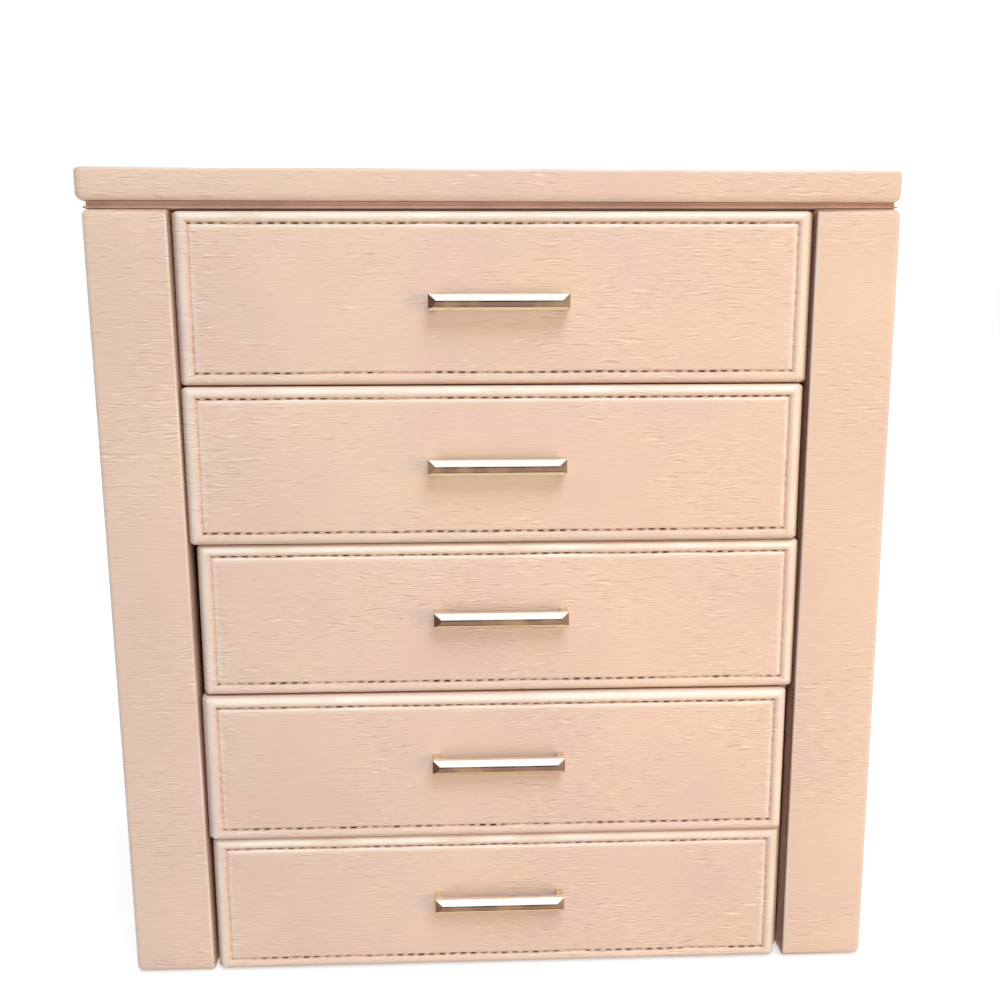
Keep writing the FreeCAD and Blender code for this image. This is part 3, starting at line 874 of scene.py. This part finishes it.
# The shallow tray of a wing door: outer face, rim and lined inside
def doorCover(side, look):
    name = "door_%s_shell" % side
    low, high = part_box(name)
    sign = sides[side]
    outer = high.x if sign > 0 else low.x
    deep = high.x - low.x
    rect = (low.y, high.y, low.z, high.z + look["doorRise"])
    twist = look["doorTwist"][side]

    # A door is out of line at its front edge alone; its hinges hold the back edge
    def place(u, v, depth):
        rise = (v - low.z) / (high.z - low.z)
        outside, inside = (twist["bottom"][index] * (1 - rise) + twist["top"][index] * rise
                           for index in (0, 1))
        move = outside + (inside - outside) * depth / deep
        return Vector((outer - sign * depth + move * (high.y - u) / (high.y - low.y), u, v))

    wall = look["doorWall"]
    hollow = (low.y + look["doorFrontWall"], high.y - wall, low.z + wall, high.z - wall)
    edge, rim = look["doorRound"], look["rimRound"]
    rows = [row(rect, inset, 0.0, 0.5 * mm) for inset in reversed(look["faceRows"])]
    rows += roundRows(rect, edge, edge, edge, look["roundSteps"], False)
    rows += roundRows(rect, rim, deep - rim, edge, 4, True)
    underLip = deep - look["doorLip"]
    mouth = (low.y + look["doorMouth"], *hollow[1:])
    rows += [row(mouth, -0.5 * mm, deep, 0.2 * mm, 0.3), row(mouth, 0.0, deep - 0.5 * mm, 0, 0.4),
             row(mouth, 0.0, underLip, 0), row(hollow, 0.0, underLip, 0),
             row(hollow, 0.0, wall, 0), row(hollow, 20 * mm, wall, 0)]
    mesh = boardSkin(rows, place, look["spacing"])
    for face in mesh.faces:
        middle = face.calc_center_median()
        depth = (outer - middle.x) * sign
        inY = hollow[0] - 0.1 * mm < middle.y < hollow[1] + 0.1 * mm
        inZ = hollow[2] - 0.1 * mm < middle.z < hollow[3] + 0.1 * mm
        if inY and inZ and wall - 3 * mm < depth < deep - 1 * mm:
            face.material_index = 1
    # Painted shade on the front of the rim, beside the gap to the drawers
    shadeLayer = mesh.verts.layers.float.new("seamShade")
    for vertex in mesh.verts:
        behind = vertex.co.y - low.y
        if 0.2 * mm < behind < 1.5 * rim and (outer - vertex.co.x) * sign > deep / 2:
            vertex[shadeLayer] = look["rimShade"][side] * min(1.0, behind / rim)
    addPiece(name + "_cover", mesh, [cover, creamVelvet], "door_" + side, [name], 50)


def backCover(look):
    low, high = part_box("back_panel")
    rect = (low.x, high.x, low.z, high.z)
    radius = look["backRound"]
    thick = high.y - low.y
    rows = [row(rect, 20 * mm, 0.0, 0.3 * mm)]
    rows += roundRows(rect, radius * 0.5, radius * 0.5, 0.6 * mm, 2, False)
    rows += roundRows(rect, radius, thick - radius, 0.9 * mm, 3, True)
    rows += [row(rect, inset, thick, 0.3 * mm) for inset in (10 * mm, 50 * mm)]
    mesh = boardSkin(rows, lambda u, v, depth: Vector((u, low.y + depth, v)), look["spacing"])
    addPiece("back_panel_cover", mesh, [cover], "case", ["back_panel"], 50)


lidCover(boardLook)
lidLining(boardLook)
for side in sides:
    doorCover(side, boardLook)
backCover(boardLook)
print("lid, doors and back covered")


# Velvet boards with soft edges: the dividers of the top tray and of two drawers
dividerLook = {
    "thick": 2.5 * mm,
    "round": 0.7 * mm,
    "trayColumns": 38.0 * mm,     # the tray's two boards, from the middle
    "drawerColumns": {2: 3, 4: 2},
}


# Boards from front to back at each x, and one board across
def dividerGrid(node, body, columns, look):
    low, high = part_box(node)
    half = look["thick"] / 2
    crossY = (low.y + high.y) / 2
    mesh = bmesh.new()
    softBoard(mesh, Vector((low.x, crossY - half, low.z)), Vector((high.x, crossY + half, high.z)),
              look["round"])
    for x in columns:
        softBoard(mesh, Vector((x - half, low.y, low.z)), Vector((x + half, high.y, high.z)),
                  look["round"])
    addPiece(node + "_velvet", mesh, [creamVelvet], body, [node], 60)


dividerGrid("top_tray_dividers", "case", (-dividerLook["trayColumns"], dividerLook["trayColumns"]),
            dividerLook)
for number, count in dividerLook["drawerColumns"].items():
    node = "drawer_%d_dividers" % number
    low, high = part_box(node)
    columns = [low.x + (high.x - low.x) * step / count for step in range(1, count)]
    dividerGrid(node, "drawer_%d" % number, columns, dividerLook)
print("dividers made")


# Ring rolls: soft foam bars in velvet, pressed side by side
rollLook = {
    "perCell": 6,
    "sectionSteps": 28,
    "lengthSteps": 40,
    "press": 0.2 * mm,            # room between two rolls
    "endRound": 5.0 * mm,
    "topRound": 7.4 * mm,
    "pleats": 9,                  # gathered round each end
    "pucker": 0.35 * mm,
    "puckerLong": 4.0 * mm,
    "lumps": 0.25 * mm,
    "fill": 0.8,
}


# Half the width and the height of the foam at an angle round the roll
def rollSection(angle, halfWide, tall, topRound):
    power = 2.0 + 1.6 * (1 - topRound / (halfWide + tall / 2))
    across = math.copysign(abs(math.cos(angle)) ** (2 / power), math.cos(angle)) * halfWide
    rise = math.copysign(abs(math.sin(angle)) ** (2 / power), math.sin(angle)) * tall / 2
    return across, max(rise, -tall / 2 * 0.94)


def ringRoll(name, low, high, seed, look):
    halfWide, tall = (high.y - low.y) / 2 - look["press"] / 2, high.z - low.z
    middleY, middleZ = (low.y + high.y) / 2, (low.z + high.z) / 2
    length, endRound = high.x - low.x, look["endRound"]
    mesh = bmesh.new()
    rings = []
    for step in range(look["lengthSteps"] + 1):
        turn = math.pi * step / look["lengthSteps"]
        place = length * (1 - math.cos(turn)) / 2
        fromEnd = min(place, length - place)
        rounding = 1.0
        if fromEnd < endRound:
            rounding = 0.35 + 0.65 * math.sqrt(max(0.0, 1 - (1 - fromEnd / endRound) ** 2))
        gathered = look["pucker"] * math.exp(-fromEnd / look["puckerLong"])
        ring = []
        for corner in range(look["sectionSteps"]):
            angle = fullTurn * corner / look["sectionSteps"]
            across, rise = rollSection(angle, halfWide, tall, look["topRound"])
            pleat = math.sin(angle * look["pleats"] + seed * 2.1) * gathered
            lumps = noise.noise(Vector((place * 45, angle * 0.8, seed * 5.3))) * look["lumps"]
            shrink = rounding - (pleat + max(0.0, -lumps)) / halfWide
            z = middleZ + (rise + tall * 0.03) * shrink - tall * 0.03
            ring.append(mesh.verts.new((low.x + place, middleY + across * shrink, max(z, low.z))))
        rings.append(ring)
    skin(mesh, rings)
    piece = addPiece(name, mesh, [rollVelvet], "case", ["ring_rolls"])


low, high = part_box("ring_rolls")
innerEdge = dividerLook["trayColumns"] + dividerLook["thick"] / 2 + 0.3 * mm
rollPitch = (high.y - low.y) / rollLook["perCell"]
for side, sign in sides.items():
    ends = sorted((sign * innerEdge, sign * high.x))
    for step in range(rollLook["perCell"]):
        y = low.y + rollPitch * step
        ringRoll("ring_roll_%s_%d" % (side, step + 1), Vector((ends[0], y, low.z)),
                 Vector((ends[1], y + rollPitch, high.z)), step + (7 if sign > 0 else 0), rollLook)
print("ring rolls made")


# Door pockets: a gathered band of satin with an elastic hem along its top
pocketLook = {
    "crown": 4.0 * mm,
    "thick": 0.7 * mm,
    "fold": 0.527 * mm,
    "foldLong": 9.5 * mm,
    "belly": 0.7 * mm,
    "stand": 0.9 * mm,            # room behind the deepest fold
    "sag": 0.48 * mm,
    "pinned": 24,                 # the folds die out over this part of the width at each end
    "hemRound": 1.1 * mm,
    "hemPitch": 2.4 * mm,
    "along": 260,
    "upwards": 26,
    "cut": (0.236, 0.058),        # flat size before it was gathered, in metres
}


def pocketDepth(u, v, width, seed, look):
    place = u * width / look["foldLong"]
    bend = 0.8 * noise.noise(Vector((u * 9, v * 1.4, seed)))
    folds = math.sin(fullTurn * (place + bend)) + 0.5 * math.sin(fullTurn * (place * 1.9 - bend))
    gather = 0.55 + 0.45 * (2 * v - 1) ** 2
    pinned = min(1.0, min(u, 1 - u) * look["pinned"])
    return (look["fold"] * folds * gather + look["belly"] * math.sin(math.pi * v)) * pinned


def doorPocket(side, look):
    node = "door_%s_pocket" % side
    low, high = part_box(node)
    sign = sides[side]
    width, tall = high.y - low.y, high.z - low.z
    near = (low.x if sign > 0 else high.x) + sign * look["crown"]
    top = tall - look["hemRound"]
    seed = 3.0 + sign

    def point(u, v, layer):
        bow = look["crown"] * (1 - (2 * u - 1) ** 2)
        depth = pocketDepth(u, v, width, seed, look) - look["thick"] * layer - look["stand"]
        sag = look["sag"] * abs(noise.noise(Vector((u * 22, seed, 4.0)))) * v
        return Vector((near - sign * (bow + depth), low.y + width * u, low.z + top * v - sag))

    mesh = bmesh.new()
    across = [step / look["along"] for step in range(look["along"] + 1)]
    rings = []
    for step in range(look["upwards"] + 1):
        v = step / look["upwards"]
        ring = [mesh.verts.new(point(u, v, 0)) for u in across]
        ring += [mesh.verts.new(point(u, v, 1)) for u in reversed(across)]
        rings.append(ring)
    skin(mesh, rings, caps=False)
    count = len(across)
    for ring in (rings[0], rings[-1]):
        for index in range(count - 1):
            mesh.faces.new([ring[index], ring[index + 1], ring[-index - 2], ring[-index - 1]])
    cloth = addPiece(node + "_cloth", mesh, [satin], "door_" + side, [node])

    hem = bmesh.new()
    rings = []
    for u in across:
        gathers = math.cos(fullTurn * u * width / look["hemPitch"])
        radius = look["hemRound"] * (0.82 + 0.16 * gathers)
        points = circlePoints(point(u, 1.0, 0.5), Vector((1, 0, 0)), Vector((0, 0, 1)), radius, 10)
        rings.append([hem.verts.new(place) for place in points])
    skin(hem, rings)
    hemPiece = addPiece(node + "_hem", hem, [satin], "door_" + side)


for side in sides:
    doorPocket(side, pocketLook)
print("door pockets gathered")


# Screws: cross-headed, two on every hinge leaf and two behind every pull
screwLook = {
    "segments": 48,
    "leafHead": 1.9 * mm,
    "leafProud": 0.35 * mm,
    "pullHead": 3.6 * mm,
    "pullProud": 1.7 * mm,
    "pullLeg": 3.0 * mm,
    "boxFront": 4.0 * mm,         # thickness of a drawer box's front wall
    "fromAxis": 6.2 * mm,         # from the hinge's pin to the screws of a leaf
    "apart": 9.0 * mm,            # from the middle of a leaf to each screw
    "lidHinge": 75.0 * mm,
    "doorHinges": (52.0 * mm, 250.0 * mm),
    "leafBack": 1.5 * mm,         # from the pin's axis back to a leaf's outer face
}


# Rings of a domed head with a cross pressed into it; forwards is where it faces
def addScrew(mesh, centre, forwards, radius, proud, segments):
    across = forwards.orthogonal().normalized()
    other = forwards.cross(across)
    arm, halfArm = 0.62 * radius, 0.14 * radius

    def cross(angle, grow):
        turned = (angle + math.pi / 4) % (math.pi / 2) - math.pi / 4
        narrow = (halfArm + grow) / max(abs(math.sin(turned)), 1e-6)
        return min((arm + grow) / math.cos(turned), narrow)

    rows = [(1.0, -0.15, None), (1.0, 0.25, None), (0.9, 0.62, None), (0.7, 0.88, None),
            (None, 0.96, 0.04 * radius), (None, 0.90, 0.0), (None, 0.15, -0.03 * radius)]
    rings = []
    for share, height, grow in rows:
        ring = []
        for step in range(segments):
            angle = fullTurn * step / segments
            distance = radius * share if grow is None else cross(angle, grow)
            offset = across * math.cos(angle) + other * math.sin(angle)
            ring.append(mesh.verts.new(centre + offset * distance + forwards * (proud * height)))
        rings.append(ring)
    skin(mesh, rings)


# All the screws face the back or a drawer's inside, so away from the front
def screwSet(name, body, places, head, look):
    mesh = bmesh.new()
    radius, proud = look[head + "Head"], look[head + "Proud"]
    for place in places:
        addScrew(mesh, Vector(place), Vector((0, 1, 0)), radius, proud, look["segments"])
    addPiece(name, mesh, [screwPlating], body, sharp=40)


def hingeScrews(look):
    lidAxis = Vector(joints["lid_hinge"]["pos_m"])
    face = lidAxis.y - look["leafBack"]
    reach, apart = look["fromAxis"], look["apart"]
    lidX = [sign * look["lidHinge"] + step for sign in (-1, 1) for step in (-apart, apart)]
    doorZ = [height + step for height in look["doorHinges"] for step in (-apart, apart)]
    groups = {
        ("lid_hinge_screws", "lid"): [(x, face, lidAxis.z + reach) for x in lidX],
        ("case_hinge_screws", "case"): [(x, face, lidAxis.z - reach) for x in lidX],
    }
    for side, sign in sides.items():
        axis = Vector(joints["door_%s_hinge" % side]["pos_m"])
        groups[("door_%s_hinge_screws" % side, "door_" + side)] = [
            (axis.x + sign * reach, face, z) for z in doorZ]
        groups[("case_hinge_screws", "case")] += [(axis.x - sign * reach, face, z) for z in doorZ]
    for (name, body), places in groups.items():
        screwSet(name, body, places, "leaf", look)


def pullScrews(number, look):
    body = "drawer_%d" % number
    low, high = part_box(body + "_pull")
    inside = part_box(body + "_box")[0].y + look["boxFront"]
    half = look["pullLeg"] / 2
    places = [(x, inside, (low.z + high.z) / 2) for x in (low.x + half, high.x - half)]
    screwSet(body + "_pull_screws", body, places, "pull", look)


hingeScrews(screwLook)
for number in drawerNumbers:
    pullScrews(number, screwLook)
print("screws set")


# Finishes of the pieces that keep their solids
finishes = {
    cover: [],
    creamVelvet: ["top_tray_floor", "top_tray_front"],
    paper: ["base_board", "shelf_1", "shelf_2", "shelf_3", "shelf_4"],
    felt: ["base_felt"],
    zincSteel: ["catch_plates"],
    hingePlating: ["lid_hinge_case_leaves", "door_hinge_case_leaves", "hinge_pins",
                   "lid_hinge_leaves"],
    mirrorGlass: ["lid_mirror"],
}
finishes[creamVelvet] += ["drawer_%d_box" % number for number in drawerNumbers]
for side in sides:
    finishes[creamVelvet].append("door_%s_card" % side)
    finishes[cover].append("side_panel_" + side)
    finishes[zincSteel].append("door_%s_magnets" % side)
    finishes[hingePlating] += ["door_%s_hinge_leaves" % side, "door_%s_hook_strip" % side]


for material, names in finishes.items():
    for name in names:
        if not nodes[name].material_slots:
            nodes[name].data.materials.append(material)
        for slot in nodes[name].material_slots:
            slot.material = material
print("finishes given to the solids that stay")


# Floor and light: broad, soft and even, so that the pale floor runs out to white
white = (1.0, 1.0, 1.0, 1.0)
stageLook = {
    "floorHalf": 40.0,
    "floorColour": tone(203, 203, 205),
    "floorLift": 0.56,        # added where the floor is seen, so that it reads as white
    "skyStrength": 0.36,
    "aim": 0.16,              # height in metres that a near lamp points at
}

# A lamp with a soft angle is far away; one with a size in metres stands near the box
lampLook = {
    "keyLamp": {"place": (0.25, -0.75, 1.1), "soft": 35.0, "power": 1.68,
                "colour": (0.78, 0.90, 1.0)},
    "backLamp": {"place": (0.1, 1.0, 0.6), "soft": 60.0, "power": 0.95,
                 "colour": (1.0, 0.98, 0.95)},
    "frontLamp": {"place": (0.05, -0.62, 0.27), "size": 0.22, "power": 0.38,
                  "colour": (0.9, 1.0, 0.95)},
    "sideLamp": {"place": (0.60, -0.68, 0.24), "size": 0.30, "power": 1.85,
                 "colour": (1.0, 0.57, 0.08)},
}


def addFloor(look):
    mesh = bmesh.new()
    bmesh.ops.create_grid(mesh, x_segments=1, y_segments=1, size=look["floorHalf"])
    data = bpy.data.meshes.new("floor")
    mesh.to_mesh(data)
    mesh.free()
    floor = addObject("floor", data)
    material, tree, shader = newMaterial("paleFloor", 0.9, specular=0.1)
    shader.inputs["Base Color"].default_value = look["floorColour"]
    lift = times(seenDirectly(tree), look["floorLift"])
    glow = addNode("Emission", {"Color": white, "Strength": lift})
    both = addNode("AddShader", {0: shader.outputs[0], 1: glow.outputs[0]})
    tree.links.new(both.outputs[0], tree.nodes["Material Output"].inputs["Surface"])
    data.materials.append(material)


def addSky(look):
    world = bpy.data.worlds.new("studio")
    bpy.context.scene.world = world
    world.use_nodes = True
    tree = world.node_tree
    sky = tree.nodes["Background"]
    sky.inputs["Color"].default_value = white
    sky.inputs["Strength"].default_value = look["skyStrength"]
    backdrop = addNode("Background", {"Color": white, "Strength": 1.0}, tree)
    both = addNode("MixShader", {
        0: seenDirectly(tree), 1: sky.outputs[0], 2: backdrop.outputs[0]})
    tree.links.new(both.outputs[0], tree.nodes["World Output"].inputs["Surface"])


def addLamp(name, look):
    near = "size" in look
    lamp = bpy.data.lights.new(name, "AREA" if near else "SUN")
    if near:
        lamp.size = look["size"]
    else:
        lamp.angle = math.radians(look["soft"])
    lamp.color = look["colour"]
    lamp.energy = look["power"]
    holder = addObject(name, lamp)
    holder.location = look["place"]
    target = Vector((0, 0, stageLook["aim"] if near else 0))
    holder.rotation_euler = (target - holder.location).to_track_quat("-Z", "Y").to_euler()
    holder.visible_camera = holder.visible_glossy = not near


addFloor(stageLook)
addSky(stageLook)
for name, look in lampLook.items():
    addLamp(name, look)
bpy.context.scene.view_settings.view_transform = "Standard"
print("floor and lights set")
